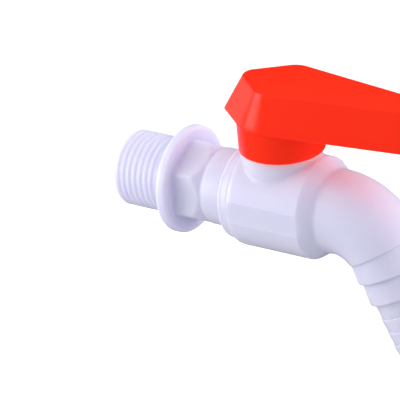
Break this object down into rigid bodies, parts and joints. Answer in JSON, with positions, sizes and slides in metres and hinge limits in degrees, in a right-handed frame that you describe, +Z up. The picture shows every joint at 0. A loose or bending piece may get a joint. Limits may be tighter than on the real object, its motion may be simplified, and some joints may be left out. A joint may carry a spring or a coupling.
{
  "type": "plastic faucet",
  "caption": "Quarter-turn plastic ball tap with a male threaded inlet, a red lever handle and a downturned spout that ends in a stepped and barbed hose tail",
  "frame": {"origin": "centre of the inlet flange's seating face, on the pipe axis, where the tap meets its supply fitting", "axes": "+X along the pipe axis from the inlet to the outlet and along the lever when the tap is open, +Z up along the stem, +Y to the left seen from above with +X ahead"},
  "size_m": [0.1074, 0.0298, 0.0767],
  "materials": {
    "white_plastic": "smooth moulded white polypropylene",
    "red_plastic": "smooth moulded red plastic",
    "stem_plastic": "plain moulded off-white plastic",
    "ball_plastic": "polished white plastic",
    "seat_plastic": "plain white sealing plastic",
    "seal_rubber": "matt black rubber"
  },
  "bodies": {
    "housing": {"tap_body": "white_plastic", "inlet_connector": "white_plastic", "inlet_seat": "seat_plastic", "outlet_seat": "seat_plastic", "inlet_seat_cushion": "seal_rubber", "outlet_seat_cushion": "seal_rubber", "connector_seal": "seal_rubber"},
    "lever": {"lever_handle": "red_plastic", "stem": "stem_plastic", "ball": "ball_plastic", "lower_stem_seal": "seal_rubber", "upper_stem_seal": "seal_rubber"}
  },
  "joints": [
    {"name": "lever_turn", "type": "hinge", "parent": "housing", "child": "lever", "pos_m": [0.0327, 0, 0], "axis": [0, 0, 1], "range_deg": [-90, 0]}
  ]
}
